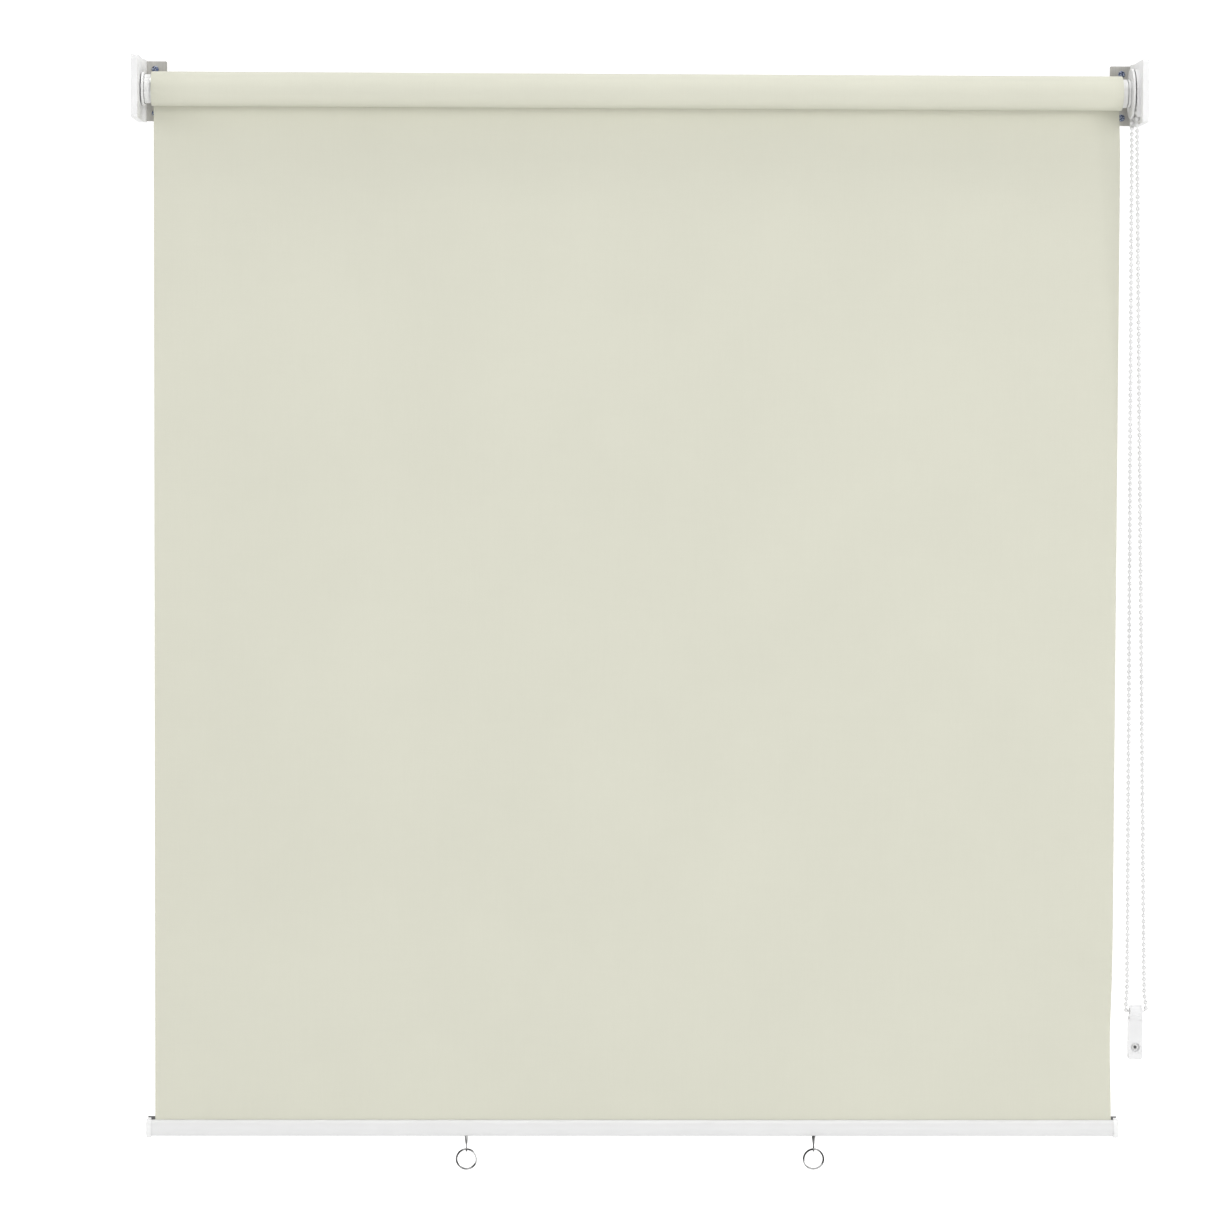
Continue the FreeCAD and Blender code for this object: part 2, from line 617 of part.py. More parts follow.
def bottom_bar():
    """The extruded bar: hollow, with a slotted channel along its top for the cloth's hem."""
    length = BAR_RIGHT - BAR_LEFT
    outside = bar_outline(BAR_LEFT, 0).extrude(X_AXIS * length)
    inside = bar_outline(BAR_LEFT - 1, BAR_WALL).extrude(X_AXIS * (length + 2))
    channel = box(BAR_LEFT, BAR_RIGHT, -17.4, -10.8, BAR_TOP_Z - 6.4, BAR_TOP_Z - 0.6)
    chamber = box(BAR_LEFT - 1, BAR_RIGHT + 1, -16.2, -11.9, BAR_TOP_Z - 5.2, BAR_TOP_Z - 1.7)
    mouth_y = SHEET_FRONT_Y - 0.25
    mouth = box(BAR_LEFT - 1, BAR_RIGHT + 1, mouth_y, mouth_y + 2.6, BAR_TOP_Z - 3, BAR_TOP_Z + 1)
    bar = joined([outside.cut(inside), channel.common(outside)])
    eye_holes = []
    for x in RING_X:
        place = Vector(x, eye_y(), BAR_TOP_Z - BAR_HEIGHT - 1)
        eye_holes.append(Part.makeCylinder(1.06, BAR_WALL + 2, place, Z_AXIS))
    return without(bar, [chamber, mouth] + eye_holes)


def bar_cap(end_x, outward):
    """A plastic cap on one end of the bar, with a spigot inside it."""
    inner, outer = sorted((end_x, end_x + outward * CAP))
    cap = bar_outline(inner, -CAP_PROUD, CAP_DROP).extrude(X_AXIS * (outer - inner))
    far = end_x + outward * CAP
    rim = [e for e in cap.Edges if abs(e.CenterOfMass.x - far) < 0.01 and abs(e.BoundBox.XLength) < 0.01]
    cap = cap.makeFillet(1.1, rim)
    spigot_x = sorted((end_x, end_x - outward * 12.0))
    middle = BAR_TOP_Z - BAR_HEIGHT / 2
    spigot = box(spigot_x[0], spigot_x[1], -16.9, -11.6, middle - 6.2, middle + 1.4)
    return joined([cap, spigot])


def bar_spline():
    """The dark strip that holds the hem in the bar's slot, with a thin tongue at each end."""
    y = SHEET_FRONT_Y + FABRIC + GAP
    strip = box(BAR_LEFT, BAR_RIGHT, y, y + SPLINE, BAR_TOP_Z - 4.8, SPLINE_TOP_Z)
    tongues = box(BAR_LEFT - TONGUE, BAR_RIGHT + TONGUE, y, y + SPLINE, TONGUE_BOTTOM_Z, SPLINE_TOP_Z)
    return joined([strip, tongues])


def eye_y():
    """The plane, along Y, that the pull rings hang in: the middle of the bar."""
    return BAR_BACK_Y - BAR_DEPTH / 2


def ring_eye(x):
    """A screw eye under the bar: a tapered shoulder, a threaded shank and a loop."""
    bottom = BAR_TOP_Z - BAR_HEIGHT
    loop_z = RING_Z + RING_R + 0.75
    profile = [
        (0, 0), (7.5, 0), (7.5, 0.7), (6.9, 1.0), (0, 1.0), (0, 1.9), (-0.8, 1.9),
        (-8.0, 0.9), (loop_z - bottom + EYE_LOOP_R - 0.3, 0.6), (loop_z - bottom + EYE_LOOP_R - 0.3, 0),
    ]
    shank = turned(profile, x, eye_y(), bottom, Z_AXIS)
    loop = Part.makeTorus(EYE_LOOP_R, EYE_WIRE_R, Vector(x, eye_y(), loop_z), X_AXIS)
    return joined([shank, loop])


def pull_ring(x):
    """A split ring of two flat turns, in the plane of the bar."""
    turn_width = 0.9
    outer, inner = RING_R + RING_WIRE / 2, RING_R - RING_WIRE / 2
    centre = Vector(x, eye_y() - turn_width, RING_Z)
    ring = Part.makeCylinder(outer, 2 * turn_width, centre, Y_AXIS)
    ring = ring.cut(Part.makeCylinder(inner, 2 * turn_width, centre, Y_AXIS))
    edges = [e for e in ring.Edges if isinstance(e.Curve, Part.Circle)]
    ring = ring.makeFillet(0.4, edges)
    groove = pipe_y(x, outer + 1, outer - 0.25, 0.12)
    return ring.cut(groove)


def pipe_y(x, outer, inner, half):
    """A narrow ring about the pull ring's own axis, for the seam between its two turns."""
    centre = Vector(x, eye_y() - half, RING_Z)
    ring = Part.makeCylinder(outer, 2 * half, centre, Y_AXIS)
    return ring.cut(Part.makeCylinder(inner, 2 * half, centre, Y_AXIS))


# --- all pieces ---------------------------------------------------------------------------------

PIECES = {
    "left_bracket": mirrored(bracket(5.0)),
    "right_bracket": bracket(6.0),
    "left_bracket_cover": mirrored(bracket_cover(7.9)),
    "right_bracket_cover": without(
        bracket_cover(9.9), shroud_pegs(PEG_R + FIT, SEAT_X - 1, SEAT_END + 0.1)),
    "chain_shroud": chain_shroud(),
    "left_wall_screws": wall_screws(-1),
    "right_wall_screws": wall_screws(1),
    "idle_socket": idle_socket(),
    "idle_plug": idle_plug(),
    "idle_pin": idle_pin(),
    "idle_pin_spring": idle_pin_spring(),
    "roller_tube": roller_tube(),
    "fabric_tape": fabric_tape(),
    "wound_fabric": wound_fabric(),
    "hanging_sheet": hanging_sheet(),
    "clutch_hub": clutch_hub(),
    "hub_screw": hub_screw(),
    "hub_clip": hub_clip(),
    "inner_brake_spring": brake_spring(INNER_SPRING_X, 7),
    "outer_brake_spring": brake_spring(OUTER_SPRING_X, 7),
    "drive_plug": drive_plug(),
    "chain_wheel": chain_wheel(),
    "bead_chain": bead_chain(),
    "chain_tensioner": chain_tensioner(),
    "tensioner_screw": tensioner_screw(),
    "bottom_bar": bottom_bar(),
    "left_bar_cap": bar_cap(BAR_LEFT, -1),
    "right_bar_cap": bar_cap(BAR_RIGHT, 1),
    "bar_spline": bar_spline(),
    "left_ring_eye": ring_eye(RING_X[0]),
    "right_ring_eye": ring_eye(RING_X[1]),
    "left_pull_ring": pull_ring(RING_X[0]),
    "right_pull_ring": pull_ring(RING_X[1]),
}

os.makedirs("parts", exist_ok=True)
for name, shape in PIECES.items():
    shape.exportStep(f"parts/{name}.step")
    print(name, "solids", len(shape.Solids), "valid", shape.isValid(), "volume", round(shape.Volume, 1))
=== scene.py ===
import math

import bmesh
import bpy
from mathutils import Matrix, Vector, noise


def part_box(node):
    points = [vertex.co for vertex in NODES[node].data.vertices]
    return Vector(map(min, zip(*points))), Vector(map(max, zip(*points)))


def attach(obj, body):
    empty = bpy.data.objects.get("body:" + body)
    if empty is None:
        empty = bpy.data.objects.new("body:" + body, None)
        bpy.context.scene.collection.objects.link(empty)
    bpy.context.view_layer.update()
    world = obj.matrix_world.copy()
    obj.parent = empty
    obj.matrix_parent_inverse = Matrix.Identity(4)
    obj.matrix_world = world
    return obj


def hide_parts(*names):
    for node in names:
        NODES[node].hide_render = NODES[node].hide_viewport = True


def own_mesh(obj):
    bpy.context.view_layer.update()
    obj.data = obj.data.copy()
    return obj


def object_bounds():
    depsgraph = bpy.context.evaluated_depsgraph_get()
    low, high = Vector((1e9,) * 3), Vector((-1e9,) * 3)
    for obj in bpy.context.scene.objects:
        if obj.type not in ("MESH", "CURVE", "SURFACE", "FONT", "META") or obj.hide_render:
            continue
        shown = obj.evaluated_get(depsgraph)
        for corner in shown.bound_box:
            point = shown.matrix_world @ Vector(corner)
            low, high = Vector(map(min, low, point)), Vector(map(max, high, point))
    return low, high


# Chain-operated roller blind. Metres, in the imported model's frame: origin at the middle of the four
# wall screws, +X to the chain side, +Y into the wall, +Z up.

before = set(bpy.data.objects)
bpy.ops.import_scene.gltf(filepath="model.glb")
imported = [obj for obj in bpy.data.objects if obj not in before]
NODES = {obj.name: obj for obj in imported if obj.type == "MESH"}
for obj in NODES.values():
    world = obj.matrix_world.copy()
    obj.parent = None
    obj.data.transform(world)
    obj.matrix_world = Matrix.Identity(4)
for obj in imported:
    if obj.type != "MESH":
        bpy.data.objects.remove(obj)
CAD_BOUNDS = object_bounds()
MM = 0.001
Y_AXIS = Vector((0, 1, 0))

# --- camera -------------------------------------------------------------------------------------

CAMERA_PLACE = Vector((-0.10735, -4.05051, -0.33634))
CAMERA_YAW = 0.01884       # radians, to the right
CAMERA_PITCH = 0.04558     # down
CAMERA_ROLL = 0.00362
CAMERA_LENS = 117.86       # for the sensor width below
SENSOR = 36.0


def add_camera():
    """The camera that looks at the whole blind from a little left of its middle."""
    data = bpy.data.cameras.new("camera")
    data.sensor_width = SENSOR
    data.lens = CAMERA_LENS
    data.clip_end = 50
    camera = bpy.data.objects.new("camera", data)
    bpy.context.scene.collection.objects.link(camera)
    camera.matrix_world = (
        Matrix.Translation(CAMERA_PLACE)
        @ Matrix.Rotation(-CAMERA_YAW, 4, "Z")
        @ Matrix.Rotation(math.pi / 2 - CAMERA_PITCH, 4, "X")
        @ Matrix.Rotation(CAMERA_ROLL, 4, "Z")
    )
    bpy.context.scene.camera = camera


add_camera()

# --- materials ----------------------------------------------------------------------------------


class Finish:
    """A procedural material: one Principled shader and the nodes that feed it."""

    def __init__(self, name, roughness=0.5, **sockets):
        self.material = bpy.data.materials.new(name)
        self.material.use_nodes = True
        self.tree = self.material.node_tree
        self.shader = self.tree.nodes["Principled BSDF"]
        self.shader.inputs["Roughness"].default_value = roughness
        for socket, value in sockets.items():
            self.shader.inputs[socket.replace("_", " ")].default_value = value
        self.place = self.node("TexCoord").outputs["Object"]

    def node(self, kind, inputs=None, **settings):
        """A shader node; inputs are numbers, colours or the outputs of other nodes."""
        made = self.tree.nodes.new("ShaderNode" + kind)
        for key, value in settings.items():
            setattr(made, key, value)
        for socket, value in (inputs or {}).items():
            if isinstance(value, bpy.types.NodeSocket):
                self.tree.links.new(value, made.inputs[socket])
            else:
                made.inputs[socket].default_value = value
        return made

    def stretched(self, x, y, z):
        """The place on the piece with each axis scaled."""
        return self.node("Mapping", {"Vector": self.place, "Scale": (x, y, z)}).outputs["Vector"]

    def noise(self, scale, detail=2.0, place=None, roughness=0.5):
        """A noise value round 0.5, with a given number of lumps to the metre."""
        inputs = {"Vector": place or self.place, "Scale": scale, "Detail": detail, "Roughness": roughness}
        return self.node("TexNoise", inputs).outputs["Fac"]

    def math(self, operation, a, b=0.0):
        """One arithmetic step."""
        return self.node("Math", {0: a, 1: b}, operation=operation).outputs[0]

    def ramp(self, value, stops):
        """Colours or greys along a value: stops are (place, colour) pairs."""
        made = self.node("ValToRGB", {"Fac": value})
        points = made.color_ramp.elements
        while len(points) < len(stops):
            points.new(0.5)
        for point, (place, colour) in zip(points, stops):
            point.position = place
            point.color = (*colour, 1) if hasattr(colour, "__len__") else (colour, colour, colour, 1)
        return made.outputs["Color"]

    def between(self, value, low, high):
        """A value from 0 to 1 carried to the range from low to high."""
        made = self.node("MapRange", {"Value": value, "To Min": low, "To Max": high})
        return made.outputs["Result"]

    def feed(self, socket, output):
        """Links an output to one of the shader's sockets."""
        self.tree.links.new(output, self.shader.inputs[socket])
        return self

    def bump(self, height, depth, strength=1.0):
        """Raises the surface by height, of which 1 stands for depth metres."""
        inputs = {"Height": height, "Distance": depth, "Strength": strength}
        made = self.node("Bump", inputs)
        if self.shader.inputs["Normal"].is_linked:
            self.tree.links.new(self.shader.inputs["Normal"].links[0].from_socket, made.inputs["Normal"])
        return self.feed("Normal", made.outputs["Normal"])


def tint(colour, share):
    """A colour made lighter or darker by a share."""
    return tuple(min(1.0, part * share) for part in colour)


def cloth_finish():
    """Plain-woven blackout cloth, ivory: fine threads, long slubs and faint clouds of tone."""
    colour = (0.580, 0.578, 0.488)
    finish = Finish("blind_cloth", 0.82, Sheen_Weight=0.08, Sheen_Roughness=0.6, Specular_IOR_Level=0.25)
    thread = 0.00052
    parts = finish.node("SeparateXYZ", {"Vector": finish.place})
    waves = []
    for axis in ("X", "Z"):
        turn = finish.math("MULTIPLY", parts.outputs[axis], math.pi / thread)
        waves.append(finish.math("SINE", turn))
    weave = finish.math("MULTIPLY", *waves)
    slub_across = finish.noise(1.0, 1.0, finish.stretched(28, 28, 1900))
    slub_down = finish.noise(1.0, 1.0, finish.stretched(1900, 28, 28))
    slub = finish.math("ADD", slub_across, slub_down)
    clouds = finish.noise(6.0, 3.0)
    shade = finish.math("ADD", finish.math("MULTIPLY", clouds, 0.55), finish.math("MULTIPLY", slub, 0.22))
    finish.feed("Base Color", finish.ramp(shade, [(0.28, tint(colour, 0.975)), (0.72, tint(colour, 1.025))]))
    finish.feed("Roughness", finish.between(slub_across, 0.76, 0.88))
    finish.bump(weave, 0.00004, 0.5)
    return finish.bump(slub, 0.00006, 0.6)


def moulded_finish(name, colour, roughness, grain, depth=0.00002, **sockets):
    """Moulded plastic: a fine spark-eroded skin, and gloss that varies a little."""
    finish = Finish(name, roughness, **sockets)
    clouds = finish.noise(60.0, 3.0)
    finish.feed("Base Color", finish.ramp(clouds, [(0.3, tint(colour, 0.97)), (0.7, tint(colour, 1.015))]))
    finish.feed("Roughness", finish.between(finish.noise(220.0, 2.0), roughness - 0.06, roughness + 0.06))
    return finish.bump(finish.noise(grain, 2.0), depth, 0.5)


def zinc_plate_finish():
    """Zinc-plated sheet, brushed: fine lines up the plate, and cloudy patches of the plating."""
    finish = Finish("zinc_plate", 0.5, Metallic=1.0)
    brushed = finish.noise(1.0, 3.0, finish.stretched(1500, 1500, 14))
    broad = finish.noise(1.0, 2.0, finish.stretched(330, 330, 8))
    cloud = finish.noise(70.0, 3.0)
    lines = finish.math("ADD", finish.math("MULTIPLY", brushed, 0.5), finish.math("MULTIPLY", broad, 0.5))
    shade = finish.math("ADD", finish.math("MULTIPLY", lines, 0.75), finish.math("MULTIPLY", cloud, 0.25))
    finish.feed("Base Color", finish.ramp(shade, [(0.32, (0.44, 0.43, 0.41)), (0.68, (0.64, 0.63, 0.60))]))
    finish.feed("Roughness", finish.between(shade, 0.46, 0.62))
    return finish.bump(lines, 0.00002, 0.5)


def turned_metal_finish(name, dark, light, roughness, marks, depth=0.00001):
    """Bare or plated metal with fine marks left by tools, finer along one axis: marks is the scale."""
    finish = Finish(name, roughness, Metallic=1.0)
    lines = finish.noise(1.0, 2.0, finish.stretched(*marks))
    cloud = finish.noise(150.0, 2.0)
    shade = finish.math("ADD", finish.math("MULTIPLY", lines, 0.5), finish.math("MULTIPLY", cloud, 0.5))
    finish.feed("Base Color", finish.ramp(shade, [(0.3, dark), (0.7, light)]))
    finish.feed("Roughness", finish.between(cloud, roughness - 0.06, roughness + 0.08))
    return finish.bump(lines, depth, 0.5)


def blue_zinc_finish():
    """Blue-passivated screws: bright and dark blue patches about a millimetre across."""
    finish = Finish("zinc_screw", 0.34, Metallic=1.0)
    patches = finish.noise(900.0, 2.0)
    stops = [(0.38, (0.02, 0.03, 0.08)), (0.50, (0.13, 0.17, 0.31)), (0.62, (0.70, 0.76, 0.88))]
    finish.feed("Base Color", finish.ramp(patches, stops))
    finish.feed("Roughness", finish.between(patches, 0.28, 0.42))
    return finish.bump(finish.noise(4000.0, 2.0), 0.00001, 0.4)


def nickel_finish():
    """Nickel plate on bent wire with painted reflection: long near-black and bright stretches in its colour
    stand for the arcs it reflects, with fine draw marks.
    """
    finish = Finish("ring_chrome", 0.2, Metallic=1.0)
    painted_reflection_arcs = finish.noise(75.0, 1.0)
    # Painted reflection: the colour runs from near black to bright along the wire, standing for reflected
    # dark and light arcs; the roughness follows the same stretches.
    finish.feed("Base Color", finish.ramp(painted_reflection_arcs, [(0.44, (0.05, 0.05, 0.05)), (0.56, (0.56, 0.56, 0.56))]))
    finish.feed("Roughness", finish.between(painted_reflection_arcs, 0.28, 0.14))
    return finish.bump(finish.noise(3000.0, 2.0), 0.000004, 0.4)


def painted_finish(name, colour, roughness):
    """Stoved paint on an extrusion: orange peel, and die lines along the bar."""
    finish = Finish(name, roughness, Coat_Weight=0.15, Coat_Roughness=0.25)
    cloud = finish.noise(35.0, 2.0)
    finish.feed("Base Color", finish.ramp(cloud, [(0.3, tint(colour, 0.985)), (0.7, tint(colour, 1.01))]))
    finish.feed("Roughness", finish.between(finish.noise(300.0, 2.0), roughness - 0.05, roughness + 0.05))
    finish.bump(finish.noise(1.0, 1.0, finish.stretched(3, 1600, 1600)), 0.00001, 0.5)
    return finish.bump(finish.noise(700.0, 2.0), 0.00001, 0.4)


def white_screw_finish():
    """A white painted screw with painted shade: its colour turns near black round the middle of the head,
    where the cross recess lies in shade.
    """
    low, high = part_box("tensioner_screw")
    face = Vector(((low.x + high.x) / 2, low.y, (low.z + high.z) / 2))
    screw = NODES["tensioner_screw"]
    finish = Finish("white_screw", 0.34, Coat_Weight=0.15, Coat_Roughness=0.25)
    inputs = {0: finish.place, 1: screw.matrix_world.inverted() @ face}
    reach = finish.node("VectorMath", inputs, operation="DISTANCE").outputs["Value"]
    # Painted shade: near black within 1.5 mm of the middle of the head's face, where the cross recess is
    # shaded, and white from 2.1 mm out.
    painted_recess_shade = finish.node("MapRange", {"Value": reach, "From Min": 1.5 * MM, "From Max": 2.1 * MM})
    stops = [(0.0, (0.05, 0.05, 0.05)), (1.0, (0.68, 0.68, 0.67))]
    finish.feed("Base Color", finish.ramp(painted_recess_shade.outputs["Result"], stops))
    finish.feed("Roughness", finish.between(finish.noise(300.0, 2.0), 0.29, 0.39))
    return finish.bump(finish.noise(700.0, 2.0), 0.00001, 0.4)


FINISHES = {
    "zinc_plate": zinc_plate_finish(),
    "cover_plastic": moulded_finish("cover_plastic", (0.74, 0.74, 0.74), 0.42, 2600.0),
    "plug_plastic": moulded_finish("plug_plastic", (0.76, 0.76, 0.755), 0.38, 1800.0),
    "zinc_screw": blue_zinc_finish(),
    "pin_steel": turned_metal_finish(
        "pin_steel", (0.38, 0.38, 0.39), (0.52, 0.52, 0.53), 0.30, (3000, 60, 60)),
    "spring_steel": turned_metal_finish(
        "spring_steel", (0.24, 0.24, 0.25), (0.38, 0.38, 0.39), 0.34, (300, 2400, 300)),
    "tube_aluminium": turned_metal_finish(
        "tube_aluminium", (0.60, 0.61, 0.62), (0.74, 0.75, 0.76), 0.32, (6, 2200, 2200)),
    "fabric_tape": moulded_finish("fabric_tape", (0.62, 0.58, 0.46), 0.5, 900.0),
    "blind_cloth": cloth_finish(),
    "bead_plastic": moulded_finish("bead_plastic", (0.68, 0.68, 0.68), 0.3, 900.0, Coat_Weight=0.2),
    "tensioner_plastic": moulded_finish("tensioner_plastic", (0.72, 0.72, 0.725), 0.32, 1500.0),
    "bar_paint": painted_finish("bar_paint", (0.68, 0.68, 0.68), 0.36),
    "cap_plastic": moulded_finish("cap_plastic", (0.78, 0.78, 0.78), 0.36, 1800.0),
    "spline_plastic": moulded_finish("spline_plastic", (0.10, 0.10, 0.10), 0.5, 1200.0),
    "ring_chrome": nickel_finish(),
    "white_screw": white_screw_finish(),
}

for node in NODES.values():
    for place in node.material_slots:
        place.material = FINISHES[place.material.name].material

# --- mesh helpers -------------------------------------------------------------------------------


def piece(name, bm, slot, body, sharp_deg=35.0):
    """An object made of a bmesh, smooth but for its corners, that rides on a body."""
    bmesh.ops.recalc_face_normals(bm, faces=bm.faces)
    mesh = bpy.data.meshes.new(name)
    bm.to_mesh(mesh)
    bm.free()
    mesh.shade_smooth()
    mesh.set_sharp_from_angle(angle=math.radians(sharp_deg))
    made = bpy.data.objects.new(name, mesh)
    bpy.context.scene.collection.objects.link(made)
    mesh.materials.append(FINISHES[slot].material)
    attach(made, body)
    return made


def add_slab(bm, front, back):
    """A closed thin solid between two grids of points of the same size."""
    rows, columns = len(front), len(front[0])
    layers = [[[bm.verts.new(point) for point in row] for row in grid] for grid in (front, back)]
    for a in range(rows - 1):
        for b in range(columns - 1):
            for layer in layers:
                bm.faces.new((layer[a][b], layer[a][b + 1], layer[a + 1][b + 1], layer[a + 1][b]))
    border = [(0, b) for b in range(columns)]
    border += [(a, columns - 1) for a in range(1, rows)]
    border += [(rows - 1, b) for b in range(columns - 2, -1, -1)]
    border += [(a, 0) for a in range(rows - 2, 0, -1)]
    for (a, b), (c, d) in zip(border, border[1:] + border[:1]):
        bm.faces.new((layers[0][a][b], layers[0][c][d], layers[1][c][d], layers[1][a][b]))


def join_loops(bm, loops, closed):
    """Faces between loops of vertices that follow each other, capped at both ends or closed."""
    pairs = list(zip(loops, loops[1:]))
    if closed:
        pairs.append((loops[-1], loops[0]))
    else:
        bm.faces.new(loops[0])
        bm.faces.new(loops[-1])
    for one, two in pairs:
        for n in range(len(one)):
            m = (n + 1) % len(one)
            bm.faces.new((one[n], one[m], two[m], two[n]))


def add_sweep(bm, line, section, sides=None):
    """A solid of one section swept along a line. A section is (across, up) pairs; sides gives the
    across direction at each point, and without it the section is carried along with no twist."""
    loops = []
    across = None
    for n, point in enumerate(line):
        along = (line[min(n + 1, len(line) - 1)] - line[max(n - 1, 0)]).normalized()
        if sides:
            across = sides[n]
        elif across is None:
            across = along.orthogonal()
        across = (across - along * along.dot(across)).normalized()
        up = along.cross(across)
        loops.append([bm.verts.new(point + across * a + up * b) for a, b in section])
    join_loops(bm, loops, False)


def circle_section(radius, corners):
    """A round section for a sweep."""
    turns = [2 * math.pi * n / corners for n in range(corners)]
    return [(radius * math.cos(turn), radius * math.sin(turn)) for turn in turns]


# --- bead chain ---------------------------------------------------------------------------------

CHAIN_ROUTE = [
    (0.51305, -0.0066, -0.9344),       # joint, hidden in the tensioner's tunnel
    (0.5160, -0.0066, -0.9344),
    (0.5200, -0.0066, -0.9346),        # right mouth of the tunnel
    (0.5234, -0.0066, -0.9335),
    (0.5232, -0.0068, -0.9275),
    (0.5213, -0.00752, -0.9170),       # right strand, in front
    (0.5208, -0.00830, -0.8990),
    (0.4990, -0.04978, -0.0400),
    (0.4990, -0.04978, -0.00716),      # over the wheel
    (0.4990, -0.04978, 0.00716),
    (0.4990, -0.03966, 0.01728),
    (0.4990, -0.02534, 0.01728),
    (0.4990, -0.01522, 0.00716),
    (0.4990, -0.01522, -0.00716),
    (0.4990, -0.01522, -0.0400),
    (0.5039, -0.00694, -0.8990),       # left strand, behind
    (0.5036, -0.00677, -0.9170),
    (0.5026, -0.0067, -0.9275),
    (0.5024, -0.0066, -0.9335),
    (0.5058, -0.0066, -0.9346),        # left mouth of the tunnel
    (0.5098, -0.0066, -0.9344),
    (0.51275, -0.0066, -0.9344),
]
BEAD_D = 4.5 * MM
BEAD_PITCH = 6.0 * MM
CHAIN_CORD_R = 0.6 * MM


def smooth_line(route):
    """The points that the NURBS spline with these control points runs through."""
    curve = bpy.data.curves.new("route", "CURVE")
    curve.dimensions = "3D"
    curve.resolution_u = 16
    spline = curve.splines.new("NURBS")
    spline.points.add(len(route) - 1)
    for control, point in zip(spline.points, route):
        control.co = (*point, 1)
    spline.order_u = 3
    spline.use_endpoint_u = True
    holder = bpy.data.objects.new("route", curve)
    bpy.context.scene.collection.objects.link(holder)
    bpy.context.view_layer.update()
    mesh = bpy.data.meshes.new_from_object(holder)
    line = [vertex.co.copy() for vertex in mesh.vertices]
    bpy.data.objects.remove(holder)
    bpy.data.curves.remove(curve)
    bpy.data.meshes.remove(mesh)
    return line


def stepped(line, pitch):
    """Points along a line, from its start, each a straight pitch from the one before."""
    found = [line[0]]
    for start, end in zip(line, line[1:]):
        run = end - start
        while (end - found[-1]).length >= pitch:
            offset = start - found[-1]
            b = run.dot(offset)
            c = offset.length_squared - pitch ** 2
            share = (-b + math.sqrt(b * b - run.length_squared * c)) / run.length_squared
            found.append(start + run * share)
    return found


def add_bead(bm, place, along):
    """One bead: a ball with a small flat round each end of its hole."""
    rings, corners = 9, 14
    hole = math.asin(CHAIN_CORD_R / (BEAD_D / 2))
    turn = along.to_track_quat("Z", "Y").to_matrix()
    loops = []
    for n in range(rings):
        angle = hole + (math.pi - 2 * hole) * n / (rings - 1)
        radius, height = BEAD_D / 2 * math.sin(angle), BEAD_D / 2 * math.cos(angle)
        loop = []
        for a, b in circle_section(radius, corners):
            loop.append(bm.verts.new(place + turn @ Vector((a, b, height))))
        loops.append(loop)
    join_loops(bm, loops, False)


def bead_chain():
    """The chain: a cord with a bead at each pitch, seated in the wheel's pockets at the top."""
    line = smooth_line(CHAIN_ROUTE)
    top = max(range(len(line)), key=lambda n: line[n].z)
    front = stepped(line[top::-1], BEAD_PITCH)
    back = stepped(line[top:], BEAD_PITCH)
    centres = front[:0:-1] + back
    bm = bmesh.new()
    add_sweep(bm, line, circle_section(CHAIN_CORD_R, 8))
    for n, centre in enumerate(centres):
        ahead = centres[min(n + 1, len(centres) - 1)]
        behind = centres[max(n - 1, 0)]
        add_bead(bm, centre, (ahead - behind).normalized())
    made = piece("chain_of_beads", bm, "bead_plastic", "wall_mount", 60.0)
    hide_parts("bead_chain")


bead_chain()

# --- cloth --------------------------------------------------------------------------------------

CLOTH = 0.55 * MM
WRAPS = 6
SHEET_LOW, SHEET_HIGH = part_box("hanging_sheet")
ROLL_LOW, ROLL_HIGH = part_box("wound_fabric")
AXIS_Y = (ROLL_LOW.y + ROLL_HIGH.y) / 2
TAPE_R = 14.2 * MM
SWAY = 0.45 * MM
EDGE_DRIFT = 1.9 * MM


def cloth_sway(x, z):
    """How far the hanging cloth stands out of its plane: long soft waves, but flat near both ends."""
    length = -SHEET_LOW.z
    down = -z / length
    hold = min(1.0, down / 0.12) * min(1.0, max(0.0, (0.72 - down) / 0.2))
    hold = hold * hold * (3 - 2 * hold)
    broad = math.sin(5.1 * x + 0.7) * math.sin(2.3 + 7.0 * down)
    short = math.sin(13.0 * x - 1.1 + 2.0 * down)
    return SWAY * hold * (broad + 0.6 * short)


def edge_drift(z):
    """How far the right edge of the cloth runs out past its cut width, but for a neck near the bar."""
    start = min(1.0, -z / 0.06)
    return EDGE_DRIFT * start * (1 - math.exp(-((z + 0.965) / 0.055) ** 2))


def hanging_cloth():
    """The sheet between the roll and the bar, with a mesh of its own."""
    columns, rows = 88, 120
    front, back = [], []
    for a in range(rows + 1):
        z = SHEET_LOW.z * a / rows
        right = SHEET_HIGH.x + edge_drift(z)
        line = []
        for b in range(columns + 1):
            x = SHEET_LOW.x + (right - SHEET_LOW.x) * b / columns
            line.append(Vector((x, SHEET_LOW.y + cloth_sway(x, z), z)))
        front.append(line)
        back.append([point + Y_AXIS * CLOTH for point in line])
    bm = bmesh.new()
    add_slab(bm, front, back)
    made = piece("cloth_sheet", bm, "blind_cloth", "wall_mount", 60.0)
    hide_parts("hanging_sheet")
    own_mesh(made)
    return made


def around(radius, turn, x):
    """A point about the roller's axis: turn is 0 at the back and grows up and over to the front."""
    return Vector((x, AXIS_Y + radius * math.cos(turn), radius * math.sin(turn)))


